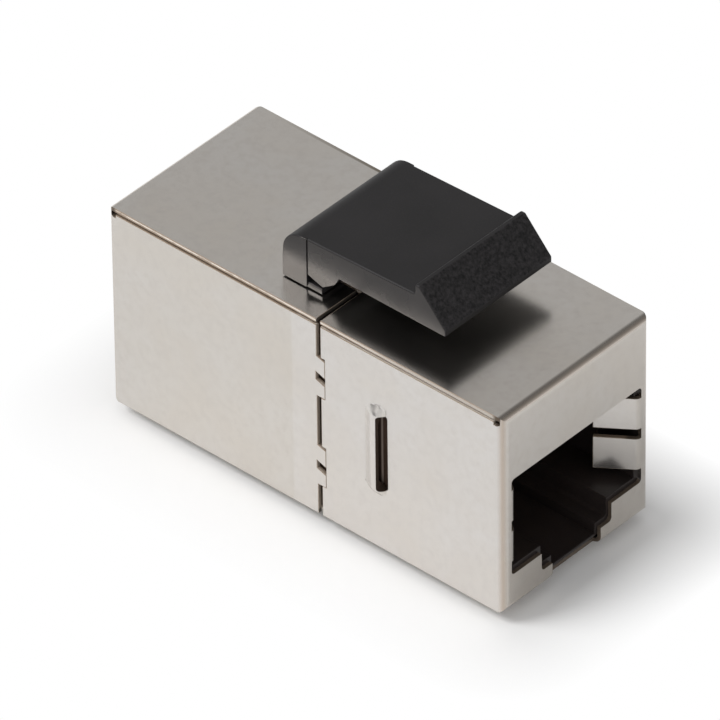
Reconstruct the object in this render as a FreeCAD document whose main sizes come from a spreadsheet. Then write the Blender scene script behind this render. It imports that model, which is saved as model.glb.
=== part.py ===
import FreeCAD, Part
import math
import operator
import os
from types import SimpleNamespace

import Sketcher

# Shielded keystone coupler, a modular socket at each end, in millimetres.
# X runs along the body with the front socket at +X, Z is up and the latch is on top.
# The origin is under the middle of the body, level with the lowest edge of the catch.

os.makedirs("parts", exist_ok=True)
doc = FreeCAD.newDocument("keystone_coupler")

# Driving dimensions
DIMENSIONS = [
    # Shield body
    ("body_length", "34.4", "front panel face to rear panel face"),
    ("body_width", "14.5", "outside of one side wall to the other"),
    ("body_height", "16.2", "underside to top, latch and catch left out"),
    ("sheet", "0.3", "shield sheet thickness"),
    ("bend_radius", "0.65", "outer radius of the panel bends"),
    ("edge_gap", "0.19", "open seam along the four long edges"),
    ("relief_height", "0.4", "opening at each upper corner, upright"),
    ("relief_setback", "0.3", "panel face to that opening's end"),
    ("relief_round", "0.12", "radius at that opening's end"),
    ("seam_place", "1.16", "mid-length to the rear shield's open edge"),
    ("seam_gap", "0.34", "gap between the two shields"),
    ("seam_tab_reach", "0.7", "seam tab past the rear shield's edge"),
    ("seam_tab_height", "3.3", "seam tab, upright"),
    ("seam_tab_pitch", "7.4", "upper to lower seam tab"),
    ("seam_tab_middle", "7.8", "underside to the middle of the two tabs"),
    ("seam_tab_slope", "0.22", "fall of a seam tab's upper edge"),
    ("seam_tab_gap", "0.03", "seam tab to its pocket"),
    ("lock_slot_width", "0.62", "slanted slot in each seam tab"),
    ("lock_slot_fall", "0.38", "fall of the slanted slot"),
    ("lock_slot_past", "0.08", "slanted slot past the rear shield's edge"),
    # Socket cut-out in each panel
    ("port_margin", "0.85", "outside of a side wall to the cut-out"),
    ("port_drop", "5.45", "top to the cut-out's upper edge"),
    ("port_floor", "2.85", "underside to the shoulders"),
    ("key_width", "6.9", "step for the plug's latch"),
    ("key_floor", "1.4", "underside to that step's floor"),
    ("lever_width", "4.7", "step for the plug's lever, open below"),
    ("port_corner", "0.3", "corner radius of the cut-out"),
    # Grounding tabs beside the cut-out
    ("tab_drop", "0.85", "cut-out's upper edge to the upper tab"),
    ("tab_gap", "0.75", "upper to lower grounding tab"),
    ("tab_rest", "1.1", "lower tab to the shoulder below it"),
    ("tab_inward", "1.75", "straight run towards the middle"),
    ("tab_back", "2.45", "straight run into the socket"),
    ("tab_bend", "0.5", "outer radius of the tab's bend"),
    # Lanced stop on each side of the front shield
    ("louvre_set", "10.55", "panel face to the stop's cut edge"),
    ("louvre_slot", "0.63", "opening in front of the cut edge"),
    ("louvre_length", "6.2", "stop, upright"),
    ("louvre_middle", "8.15", "underside to the middle of the stop"),
    ("louvre_run", "1.6", "cut edge back to the plain wall"),
    ("louvre_brow", "0.5", "cut edge forward to the plain wall at the ends"),
    ("louvre_rise", "0.5", "stop proud of the wall"),
    ("louvre_fall", "0.75", "slope at each end of the stop"),
    ("louvre_bed", "0.08", "start of the stop's surface below the wall's face"),
    # Catch under the front shield
    ("catch_set", "9.3", "panel face to the catch's free edge"),
    ("catch_run", "2.5", "free edge to the fold"),
    ("catch_width", "8.0", "catch across the body"),
    ("catch_drop", "0.9", "free edge below the underside"),
    ("catch_gap", "0.15", "slot around the catch"),
    # Latch clip
    ("latch_width", "10.4", "spring arm across the body"),
    ("foot_proud", "0.07", "foot wider than the arm, each side"),
    ("foot_gap", "0.12", "top face to the underside of the foot and the low base"),
    ("foot_rear", "3.5", "mid-length back to the foot's rear face"),
    ("foot_length", "2.08", "rear face to the step in the side"),
    ("foot_round", "1.7", "radius over the foot's rear top edge"),
    ("plinth_length", "1.27", "low base in front of the foot"),
    ("plinth_height", "0.5", "top face to the low base's top"),
    ("slit_height", "0.58", "slit between low base and arm, at its back"),
    ("slit_mouth", "0.18", "the same slit at its mouth"),
    ("arm_top", "3.95", "top face to the arm's top at the foot"),
    ("arm_lift", "0.4", "rise of the arm's top over its length"),
    ("arm_under", "2.15", "top face to the arm's underside"),
    ("root_notch", "1.5", "length of the hollow under the arm's root"),
    ("root_height", "1.45", "top face to the hollow's inner corner"),
    ("root_round", "0.4", "radius in the hollow"),
    ("nose_set", "6.62", "panel face back to the nose"),
    ("nose_height", "0.48", "upright face of the nose"),
    ("ridge_set", "9.3", "panel face back to the ridge's rear face"),
    ("ridge_rise", "0.75", "ridge above the arm's top"),
    ("ridge_length", "0.42", "rear face to the ramp's upper corner"),
    ("ridge_round", "0.18", "radius over the ridge"),
    ("latch_edge", "0.15", "rounded outer edges of the arm"),
    ("stem_length", "2.25", "stem through the shield, along the body"),
    ("stem_width", "6.4", "stem across the body"),
    ("flange_lip", "0.4", "flange past the stem at the back"),
    ("flange_wing", "1.4", "flange past the stem at each side"),
    ("flange_thickness", "0.7", "flange held under the shield"),
    # Jack housings
    ("fit_gap", "0.1", "clearance between seated pieces"),
    ("housing_corner", "0.35", "chamfer round the housing's panel end"),
    ("port_inset", "0.4", "housing opening inside the cut-out"),
    ("key_inset", "0.2", "latch and lever steps inside the cut-out"),
    ("lever_floor", "0.95", "underside to the floor of the lever step"),
    ("cavity_depth", "10.9", "panel to the back of the plug cavity"),
    ("key_depth", "8.0", "panel to the end of the latch step"),
    ("tab_recess", "3.1", "pocket depth for the grounding tabs"),
    ("housing_wall", "1.6", "side wall round the hollow at the back"),
    ("back_wall", "1.2", "wall between the plug cavity and the hollow at the back"),
    ("core_floor", "1.6", "underside to the hollow's floor"),
    ("core_cover", "1.05", "cavity ceiling down to the hollow's ceiling"),
    ("peg_radius", "0.5", "locating pegs for the board"),
    ("peg_length", "1.0", "pegs into the board"),
    ("peg_margin", "1.25", "outside of a side wall to a peg"),
    ("peg_low", "2.6", "underside to the low peg"),
    ("peg_high", "12.4", "underside to the high peg"),
    # Contacts, their carriers and the board between them
    ("board_thickness", "1.2", "board across the middle"),
    ("board_margin", "0.2", "board edge to the shield"),
    ("hole_radius", "0.38", "plated hole for a contact tail"),
    ("contact_pitch", "1.02", "one contact to the next"),
    ("contact_width", "0.45", "contact strip width"),
    ("contact_thickness", "0.32", "contact strip thickness"),
    ("hairpin_bend", "0.5", "turn at the front of a contact"),
    ("tail_past", "0.25", "tail end past the board"),
    ("drop_place", "3.0", "mid-length to where the contacts step down"),
    ("run_over", "0.4", "cut-out's upper edge to the run over the cavity"),
    ("hairpin_set", "0.6", "panel face back to where the two legs would meet"),
    ("tip_room", "0.9", "back of the plug cavity to the free end"),
    ("tip_height", "7.0", "underside to the free end"),
    ("slot_width", "0.6", "comb slot for a contact"),
    ("slot_front", "2.0", "panel face to the comb slots"),
    ("slot_room", "0.25", "comb slot above the contact"),
    ("carrier_wall", "1.0", "wall between the plug cavity and the contact carrier"),
    ("carrier_width", "10.2", "contact carrier across the body"),
    ("carrier_cover", "0.8", "housing between the carrier and the latch flange"),
    ("carrier_slot", "2.5", "mid-length to the back of the carrier's slots"),
    ("solder_room", "0.45", "recess in the carrier over the tails"),
]
CONTACT_COUNT = 8
SIDES = ((1, "far"), (-1, "near"))
LOUVRE_SHOULDER = 0.55
SLOT_ROUNDING = 0.8
LOW_ROW = 0.33
HIGH_ROW = 0.75
STEP_BEND = 0.125
NAME_COLUMN, VALUE_COLUMN, NOTE_COLUMN = "A", "B", "C"

sheet = doc.addObject("Spreadsheet::Sheet", "dims")
for row, (alias, value, note) in enumerate(DIMENSIONS, start=1):
    sheet.set("%s%d" % (NAME_COLUMN, row), alias)
    sheet.set("%s%d" % (VALUE_COLUMN, row), value)
    sheet.setAlias("%s%d" % (VALUE_COLUMN, row), alias)
    sheet.set("%s%d" % (NOTE_COLUMN, row), note)
doc.recompute()


# Lengths that stay bound to the sheet
class Size:
    """A length with its value and the expression that ties it to the sheet."""

    def __init__(self, text, value):
        self.text = text
        self.value = value

    def __add__(self, other):
        return joined(self, "+", other)

    def __radd__(self, other):
        return joined(other, "+", self)

    def __sub__(self, other):
        return joined(self, "-", other)

    def __rsub__(self, other):
        return joined(other, "-", self)

    def __mul__(self, other):
        return joined(self, "*", other)

    def __rmul__(self, other):
        return joined(other, "*", self)

    def __truediv__(self, other):
        return joined(self, "/", other)

    def __neg__(self):
        return joined(0, "-", self)


OPERATIONS = {"+": operator.add, "-": operator.sub, "*": operator.mul, "/": operator.truediv}


def as_size(term):
    """Plain numbers, such as a sign or a count, become lengths with their own text."""
    if isinstance(term, Size):
        return term
    return Size(str(term), float(term))


def joined(left, sign, right):
    """The two lengths under one operation."""
    left = as_size(left)
    right = as_size(right)
    text = "(%s %s %s)" % (left.text, sign, right.text)
    return Size(text, OPERATIONS[sign](left.value, right.value))


def root(term):
    """Square root of a length product."""
    return Size("sqrt(%s)" % term.text, math.sqrt(term.value))


def bind(item, path, length):
    """Tie one property to the sheet."""
    item.setExpression(path, as_size(length).text)


d = SimpleNamespace(**{alias: Size("dims." + alias, float(value)) for alias, value, note in DIMENSIONS})

# Places shared by several pieces
half_length = d.body_length / 2
half_width = d.body_width / 2
panel_inside = half_length - d.sheet
wall_inside = half_width - d.sheet
roof_inside = d.body_height - d.sheet
board_face = d.board_thickness / 2
port_width = d.body_width - 2 * d.port_margin
port_top = d.body_height - d.port_drop
tab_top = port_top - d.tab_drop
tab_height = (tab_top - d.tab_gap - d.tab_rest - d.port_floor) / 2
cavity_ceiling = port_top - d.port_inset
cavity_back = panel_inside - d.cavity_depth
carrier_length = cavity_back - d.carrier_wall - board_face
carrier_top = roof_inside - d.fit_gap - d.flange_thickness - d.carrier_cover
run_height = port_top + d.run_over
tail_rise = carrier_top - run_height
tail_low = run_height + tail_rise * LOW_ROW
tail_high = run_height + tail_rise * HIGH_ROW
peg_reach = half_width - d.peg_margin
stem_front = d.stem_length - d.foot_rear + d.flange_lip
stem_rear = d.flange_lip - d.foot_rear


# Bodies, sketches and features
def new_body(label, turned=False):
    """Empty sub-part; a turned one faces the rear socket."""
    body = doc.addObject("PartDesign::Body", label)
    body.Label = label
    if turned:
        half_turn = FreeCAD.Rotation(FreeCAD.Vector(0, 0, 1), 180)
        body.Placement = FreeCAD.Placement(FreeCAD.Vector(), half_turn)
    bind(body, "Placement.Base.z", d.catch_drop)
    return body


def new_sketch(body, name, plane, offset=0):
    """Sketch on an origin plane of the body, shifted along the plane's normal."""
    sketch = body.newObject("Sketcher::SketchObject", "%s_%s" % (body.Label, name))
    support = next(item for item in body.Origin.OriginFeatures if item.Role == plane)
    sketch.AttachmentSupport = [(support, "")]
    sketch.MapMode = "FlatFace"
    bind(sketch, "AttachmentOffset.Base.z", offset)
    return sketch


def pin(sketch, geometry, end, x, y):
    """Hold one point of a sketch at x, y from the origin."""
    for kind, place in (("DistanceX", as_size(x)), ("DistanceY", as_size(y))):
        index = sketch.addConstraint(Sketcher.Constraint(kind, -1, 1, geometry, end, place.value))
        sketch.setExpression("Constraints[%d]" % index, place.text)


def rounding(before, corner, after, radius):
    """Tangent points, centre and turn of the arc that rounds a corner."""
    towards = (before - corner).normalize()
    away = (after - corner).normalize()
    half_angle = towards.getAngle(away) / 2
    reach = radius / math.tan(half_angle)
    middle = (towards + away).normalize()
    centre = corner + middle * (radius / math.sin(half_angle))
    left_turn = towards.cross(away).z < 0
    return corner + towards * reach, corner + away * reach, centre, left_turn


def draw(sketch, corners, closed=True):
    """Outline or path through corners (x, y) or (x, y, radius), each tied to the sheet."""
    count = len(corners)
    points = [FreeCAD.Vector(as_size(c[0]).value, as_size(c[1]).value, 0) for c in corners]
    reached = list(points)
    left = list(points)
    arcs = {}
    for i, corner in enumerate(corners):
        if len(corner) == 3:
            radius = as_size(corner[2]).value
            following = points[(i + 1) % count]
            reached[i], left[i], centre, left_turn = rounding(points[i - 1], points[i], following, radius)
            start, end = (reached[i], left[i]) if left_turn else (left[i], reached[i])
            angles = [math.atan2(p.y - centre.y, p.x - centre.x) for p in (start, end)]
            circle = Part.Circle(centre, FreeCAD.Vector(0, 0, 1), radius)
            arcs[i] = (sketch.addGeometry(Part.ArcOfCircle(circle, *angles)), left_turn)
    spans = count if closed else count - 1
    runs = [Part.LineSegment(left[i], reached[(i + 1) % count]) for i in range(spans)]
    lines = [sketch.addGeometry(run) for run in runs]
    for i, corner in enumerate(corners):
        arriving = lines[i - 1] if closed or i > 0 else None
        leaving = lines[i] if i < spans else None
        if i in arcs:
            arc, left_turn = arcs[i]
            marker = sketch.addGeometry(Part.Point(points[i]), True)
            pin(sketch, marker, 1, corner[0], corner[1])
            sketch.addConstraint(Sketcher.Constraint("PointOnObject", marker, 1, arriving))
            sketch.addConstraint(Sketcher.Constraint("PointOnObject", marker, 1, leaving))
            sketch.addConstraint(Sketcher.Constraint("Tangent", arriving, 2, arc, 1 if left_turn else 2))
            sketch.addConstraint(Sketcher.Constraint("Tangent", arc, 2 if left_turn else 1, leaving, 1))
            size = as_size(corner[2])
            index = sketch.addConstraint(Sketcher.Constraint("Radius", arc, size.value))
            sketch.setExpression("Constraints[%d]" % index, size.text)
        elif leaving is None:
            pin(sketch, arriving, 2, corner[0], corner[1])
        else:
            if arriving is not None:
                sketch.addConstraint(Sketcher.Constraint("Coincident", arriving, 2, leaving, 1))
            pin(sketch, leaving, 1, corner[0], corner[1])
    return sketch


def rectangle(sketch, low_x, high_x, low_y, high_y):
    """Four-sided outline."""
    return draw(sketch, [(low_x, low_y), (high_x, low_y), (high_x, high_y), (low_x, high_y)])


def circle(sketch, x, y, radius):
    """Round outline."""
    centre = FreeCAD.Vector(as_size(x).value, as_size(y).value, 0)
    round_line = sketch.addGeometry(Part.Circle(centre, FreeCAD.Vector(0, 0, 1), radius.value))
    pin(sketch, round_line, 3, x, y)
    index = sketch.addConstraint(Sketcher.Constraint("Radius", round_line, radius.value))
    sketch.setExpression("Constraints[%d]" % index, radius.text)
    return sketch


def feature(body, kind, sketch, length, symmetric=False, reverse=False):
    """Pad or Pocket of a sketch by a bound length."""
    item = body.newObject("PartDesign::" + kind, sketch.Name + "_" + kind.lower())
    item.Profile = sketch
    bind(item, "Length", length)
    item.SideType = "Symmetric" if symmetric else "One side"
    item.Reversed = reverse
    sketch.Visibility = False
    return item


def pad(body, sketch, length, **options):
    """Add material along the sketch's normal."""
    return feature(body, "Pad", sketch, length, **options)


def pocket(body, sketch, length, **options):
    """Cut material and make sure that the cut removed some."""
    item = feature(body, "Pocket", sketch, length, **options)
    doc.recompute()
    if not item.Shape.Volume < item.BaseFeature.Shape.Volume:
        raise RuntimeError("nothing was cut by " + item.Name)
    return item


def loft(body, kind, sections):
    """Additive or subtractive loft through a row of sketches."""
    item = body.newObject("PartDesign::" + kind, sections[0].Name + "_loft")
    item.Profile = sections[0]
    item.Sections = sections[1:]
    return item


def dress(body, kind, name, wanted, **sizes):
    """Fillet or Chamfer on the edges of the body that pass the test."""
    doc.recompute()
    base = body.Tip
    picked = ["Edge%d" % (i + 1) for i, edge in enumerate(base.Shape.Edges) if wanted(edge)]
    item = body.newObject("PartDesign::" + kind, "%s_%s" % (body.Label, name))
    item.Base = (base, picked)
    for path, length in sizes.items():
        bind(item, path, length)
    return item


NEAR = 1e-4


def lies_at_x(place):
    """Test for edges that lie in one cross plane of the body."""
    return lambda edge: all(abs(vertex.X - place.value) < NEAR for vertex in edge.Vertexes)


# Shields
def shield_can(body, open_edge):
    """Five-sided can with bent panel edges, open towards the seam."""
    outside = new_sketch(body, "outside", "YZ_Plane", open_edge)
    rectangle(outside, -half_width, half_width, 0, d.body_height)
    pad(body, outside, half_length - open_edge)
    dress(body, "Fillet", "bends", lies_at_x(half_length), Radius=d.bend_radius)
    inside = new_sketch(body, "inside", "YZ_Plane", open_edge)
    rectangle(inside, -wall_inside, wall_inside, d.sheet, roof_inside)
    pocket(body, inside, panel_inside - open_edge, reverse=True)
    dress(body, "Fillet", "inner_bends", lies_at_x(panel_inside), Radius=d.bend_radius - d.sheet)


def shield_seams(body, open_edge):
    """Open seams along the four long edges up to the bends, and an opening at each upper corner."""
    end = half_length - d.bend_radius
    upper = new_sketch(body, "upper_seams", "XZ_Plane")
    rectangle(upper, open_edge, end, roof_inside - d.edge_gap, roof_inside)
    pocket(body, upper, d.body_width, symmetric=True)
    low = roof_inside - d.relief_height
    tip = half_length - d.relief_setback
    lower = new_sketch(body, "lower_seams", "XY_Plane")
    for side, hand in SIDES:
        relief = new_sketch(body, "upper_relief_" + hand, "XZ_Plane", -side * half_width)
        draw(relief, [
            (end - d.edge_gap / 2, low),
            (tip, low, d.relief_round),
            (tip, roof_inside, d.relief_round),
            (end - d.edge_gap / 2, roof_inside),
        ])
        pocket(body, relief, d.bend_radius, reverse=side > 0)
        wall = side * wall_inside
        rectangle(lower, open_edge, end, wall - side * d.edge_gap, wall)
    pocket(body, lower, d.sheet, reverse=True)


def mirrored(right):
    """Outline from its right half, listed from top to bottom."""
    return [(-corner[0],) + corner[1:] for corner in reversed(right)] + right


def lower_steps(key, key_floor, lever, lever_floor):
    """Right half of the latch step and the lever step below the shoulders."""
    return [(key / 2, key_floor, d.port_corner), (lever / 2, key_floor), (lever / 2, lever_floor)]


def shield_port(body):
    """Socket cut-out through the panel, the lever step open through the lower bend."""
    cut = new_sketch(body, "port", "YZ_Plane", half_length)
    right = [
        (port_width / 2, port_top, d.port_corner),
        (port_width / 2, d.port_floor, d.port_corner),
        (d.key_width / 2, d.port_floor),
    ]
    draw(cut, mirrored(right + lower_steps(d.key_width, d.key_floor, d.lever_width, -d.sheet)))
    pocket(body, cut, d.bend_radius)


def grounding_tab(body, name, side, low):
    """Spring tab folded into the socket from the cut-out's side edge."""
    run = root(d.tab_inward * d.tab_inward + d.tab_back * d.tab_back)
    bend_share = d.tab_back / (run + d.tab_inward)
    hinge = port_width / 2
    fold = hinge - d.tab_bend * bend_share
    tip_x = half_length - d.tab_back
    tip_y = fold - d.tab_inward
    inner_tip_x = tip_x - d.sheet * d.tab_inward / run
    inner_tip_y = tip_y + d.sheet * d.tab_back / run
    rooted = hinge + d.sheet / 2
    strip = new_sketch(body, name, "XY_Plane", low)
    draw(strip, [
        (half_length, side * rooted),
        (half_length, side * fold, d.tab_bend),
        (tip_x, side * tip_y),
        (inner_tip_x, side * inner_tip_y),
        (panel_inside, side * (fold + d.sheet * bend_share), d.tab_bend - d.sheet),
        (panel_inside, side * rooted),
    ])
    pad(body, strip, tab_height)


def grounding_tabs(body):
    """Two tabs on each side of the cut-out."""
    upper = tab_top - tab_height
    lower = upper - d.tab_gap - tab_height
    for side, hand in SIDES:
        for low, level in ((upper, "upper"), (lower, "lower")):
            grounding_tab(body, "tab_%s_%s" % (level, hand), side, low)


def seam_tab_levels():
    """Heights of the middle of the lower and upper seam tabs."""
    return [d.seam_tab_middle - d.seam_tab_pitch / 2, d.seam_tab_middle + d.seam_tab_pitch / 2]


def louvre_section(body, name, place, side, base, skin, crest, corner, shorter=0):
    """Cross section of the lanced stop at one place along the body."""
    half = d.louvre_length / 2 - shorter
    foot = half + d.louvre_fall
    section = new_sketch(body, name, "YZ_Plane", place)
    return draw(section, [
        (side * base, d.louvre_middle - foot),
        (side * skin, d.louvre_middle - foot),
        (side * crest, d.louvre_middle - half, corner),
        (side * crest, d.louvre_middle + half, corner),
        (side * skin, d.louvre_middle + foot),
        (side * base, d.louvre_middle + foot),
    ])


def side_louvre(body, side, hand):
    """Lanced stop pushed out of a side wall, domed at its ends, its cut edge towards the panel."""
    cut_edge = half_length - d.louvre_set
    rear = cut_edge - d.louvre_run
    core = half_width - 2 * d.louvre_bed
    skin = half_width - d.louvre_bed
    flat = half_width - d.louvre_bed / 2
    outside = [
        (rear, flat),
        ((rear + cut_edge) / 2, half_width + d.louvre_rise * LOUVRE_SHOULDER),
        (cut_edge, half_width + d.louvre_rise),
        (cut_edge + d.louvre_brow, flat),
    ]
    sections = []
    for index, (place, crest) in enumerate(outside):
        name = "louvre_%s_%d" % (hand, index + 1)
        sections.append(louvre_section(body, name, place, side, core, skin, crest, crest - skin))
    loft(body, "AdditiveLoft", sections)
    core = wall_inside - 2 * d.louvre_bed
    skin = wall_inside - d.louvre_bed
    hollow = [
        (rear + d.sheet, wall_inside),
        (cut_edge, wall_inside + d.louvre_rise),
    ]
    sections = []
    for index, (place, crest) in enumerate(hollow):
        name = "louvre_hollow_%s_%d" % (hand, index + 1)
        corner = (crest - core) / 2
        sections.append(louvre_section(body, name, place, side, core, skin, crest, corner, d.louvre_fall))
    loft(body, "SubtractiveLoft", sections)


def louvre_slots(body):
    """Openings in front of the stops' cut edges, round at the ends."""
    cut_edge = half_length - d.louvre_set
    front = cut_edge + d.louvre_slot
    low = d.louvre_middle - d.louvre_length / 2
    high = d.louvre_middle + d.louvre_length / 2
    corner = d.louvre_slot / 2 * SLOT_ROUNDING
    slots = new_sketch(body, "louvre_slots", "XZ_Plane")
    draw(slots, [
        (cut_edge, low, corner),
        (front, low, corner),
        (front, high, corner),
        (cut_edge, high, corner),
    ])
    past_crests = d.body_width + 3 * d.louvre_rise
    pocket(body, slots, past_crests, symmetric=True)


def front_shield():
    """Front can with side stops, seam pockets, catch and the tongue that closes the latch notch."""
    body = new_body("front_shield")
    open_edge = d.seam_place + d.seam_gap
    shield_can(body, open_edge)
    shield_port(body)
    grounding_tabs(body)
    shield_seams(body, open_edge)
    for side, hand in SIDES:
        side_louvre(body, side, hand)
    louvre_slots(body)
    pockets = new_sketch(body, "seam_pockets", "XZ_Plane")
    back = d.seam_place + d.seam_tab_reach + d.seam_tab_gap
    reach = d.seam_tab_height / 2 + d.seam_tab_gap
    for level in seam_tab_levels():
        rectangle(pockets, open_edge, back, level - reach, level + reach)
    pocket(body, pockets, d.body_width, symmetric=True)
    front_catch(body)
    tongue = new_sketch(body, "tongue", "XY_Plane", roof_inside)
    half_tongue = d.stem_width / 2
    rectangle(tongue, stem_front + d.fit_gap, open_edge + d.sheet, -half_tongue, half_tongue)
    pad(body, tongue, d.sheet)
    return body


def front_catch(body):
    """Fixed catch: a flap of the underside bent down towards the rear."""
    free = half_length - d.catch_set
    fold = free + d.catch_run
    slot = new_sketch(body, "catch_slot", "XY_Plane")
    reach = d.catch_width / 2 + d.catch_gap
    rectangle(slot, free - d.catch_gap, fold, -reach, reach)
    pocket(body, slot, d.sheet, reverse=True)
    slant = root(d.catch_run * d.catch_run + d.catch_drop * d.catch_drop)
    upright = d.sheet * slant / d.catch_run
    flap = new_sketch(body, "catch", "XZ_Plane")
    draw(flap, [
        (free, -d.catch_drop),
        (fold, 0),
        (fold + d.sheet, 0),
        (fold + d.sheet, d.sheet),
        (fold - d.sheet * d.catch_drop / (slant + d.catch_run), d.sheet),
        (free, upright - d.catch_drop),
    ])
    pad(body, flap, d.catch_width, symmetric=True)


def seam_tabs(body, open_edge):
    """Two tabs on each side wall past the open edge, each with a slanted slot."""
    tip = open_edge - d.seam_tab_reach
    rooted = open_edge + d.sheet
    for wall, hand in ((half_width, "far"), (-wall_inside, "near")):
        tabs = new_sketch(body, "seam_tabs_" + hand, "XZ_Plane", -wall)
        for level in seam_tab_levels():
            top = level + d.seam_tab_height / 2
            bottom = level - d.seam_tab_height / 2
            draw(tabs, [
                (tip, bottom),
                (rooted, bottom),
                (rooted, top),
                (open_edge, top),
                (tip, top - d.seam_tab_slope),
            ])
        pad(body, tabs, d.sheet)
    slots = new_sketch(body, "lock_slots", "XZ_Plane")
    past_tip = tip - d.sheet
    slot_end = open_edge + d.lock_slot_past
    reach = d.lock_slot_width / 2
    for level in seam_tab_levels():
        fallen = level - d.lock_slot_fall
        draw(slots, [
            (past_tip, fallen - reach),
            (slot_end, level - reach),
            (slot_end, level + reach),
            (past_tip, fallen + reach),
        ])
    pocket(body, slots, d.body_width, symmetric=True)


def rear_shield():
    """Rear can with the seam tabs and the notch that the latch slides into."""
    body = new_body("rear_shield", turned=True)
    open_edge = -d.seam_place
    shield_can(body, open_edge)
    shield_port(body)
    grounding_tabs(body)
    shield_seams(body, open_edge)
    seam_tabs(body, open_edge)
    notch = new_sketch(body, "latch_notch", "XY_Plane", roof_inside)
    half_notch = d.stem_width / 2 + d.fit_gap
    rectangle(notch, open_edge, -stem_rear + d.fit_gap, -half_notch, half_notch)
    pocket(body, notch, d.sheet, reverse=True)
    return body


# Latch clip
def latch_clip():
    """Snap latch: foot, low base, spring arm with ridge and ramp, and the stem that holds it."""
    body = new_body("latch_clip")
    top = d.body_height
    under = top + d.foot_gap
    rear = -d.foot_rear
    step = rear + d.foot_length
    base_end = step + d.plinth_length
    ridge = half_length - d.ridge_set
    ridge_top = top + d.arm_top + d.arm_lift + d.ridge_rise
    ramp_start = ridge + d.ridge_length
    nose = half_length - d.nose_set
    root_end = base_end + d.root_notch
    side = new_sketch(body, "arm", "XZ_Plane")
    draw(side, [
        (rear, under),
        (rear, top + d.arm_top, d.foot_round),
        (ridge, top + d.arm_top + d.arm_lift),
        (ridge, ridge_top, d.ridge_round),
        (ramp_start, ridge_top, d.ridge_round),
        (nose, top + d.arm_under + d.nose_height),
        (nose, top + d.arm_under),
        (root_end, top + d.arm_under),
        (root_end - d.root_round, top + d.root_height, d.root_round),
        (base_end, top + d.plinth_height + d.slit_mouth),
        (step, top + d.plinth_height + d.slit_height),
        (step, top + d.plinth_height),
        (base_end, top + d.plinth_height),
        (base_end, under),
    ])
    pad(body, side, d.latch_width, symmetric=True)
    foot = new_sketch(body, "foot", "XZ_Plane")
    draw(foot, [
        (rear, under),
        (rear, top + d.arm_top, d.foot_round),
        (step, top + d.arm_top + d.arm_lift * d.foot_length / (ridge - rear)),
        (step, under),
    ])
    pad(body, foot, d.latch_width + 2 * d.foot_proud, symmetric=True)
    stem = new_sketch(body, "stem", "XY_Plane", roof_inside)
    rectangle(stem, stem_rear, stem_front, -d.stem_width / 2, d.stem_width / 2)
    pad(body, stem, d.sheet + d.foot_gap)
    flange = new_sketch(body, "flange", "XY_Plane", roof_inside - d.flange_thickness)
    wing = d.stem_width / 2 + d.flange_wing
    rectangle(flange, stem_rear - d.flange_lip, stem_front, -wing, wing)
    pad(body, flange, d.flange_thickness)
    arm_side = d.latch_width / 2

    def outer_edge(edge):
        on_side = all(abs(abs(vertex.Y) - arm_side.value) < NEAR for vertex in edge.Vertexes)
        past_foot = all(vertex.X > ridge.value - NEAR for vertex in edge.Vertexes)
        along_top = edge.BoundBox.ZMin > top.value + d.arm_top.value
        return on_side and (past_foot or along_top)

    dress(body, "Fillet", "edges", outer_edge, Radius=d.latch_edge)
    return body


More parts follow.
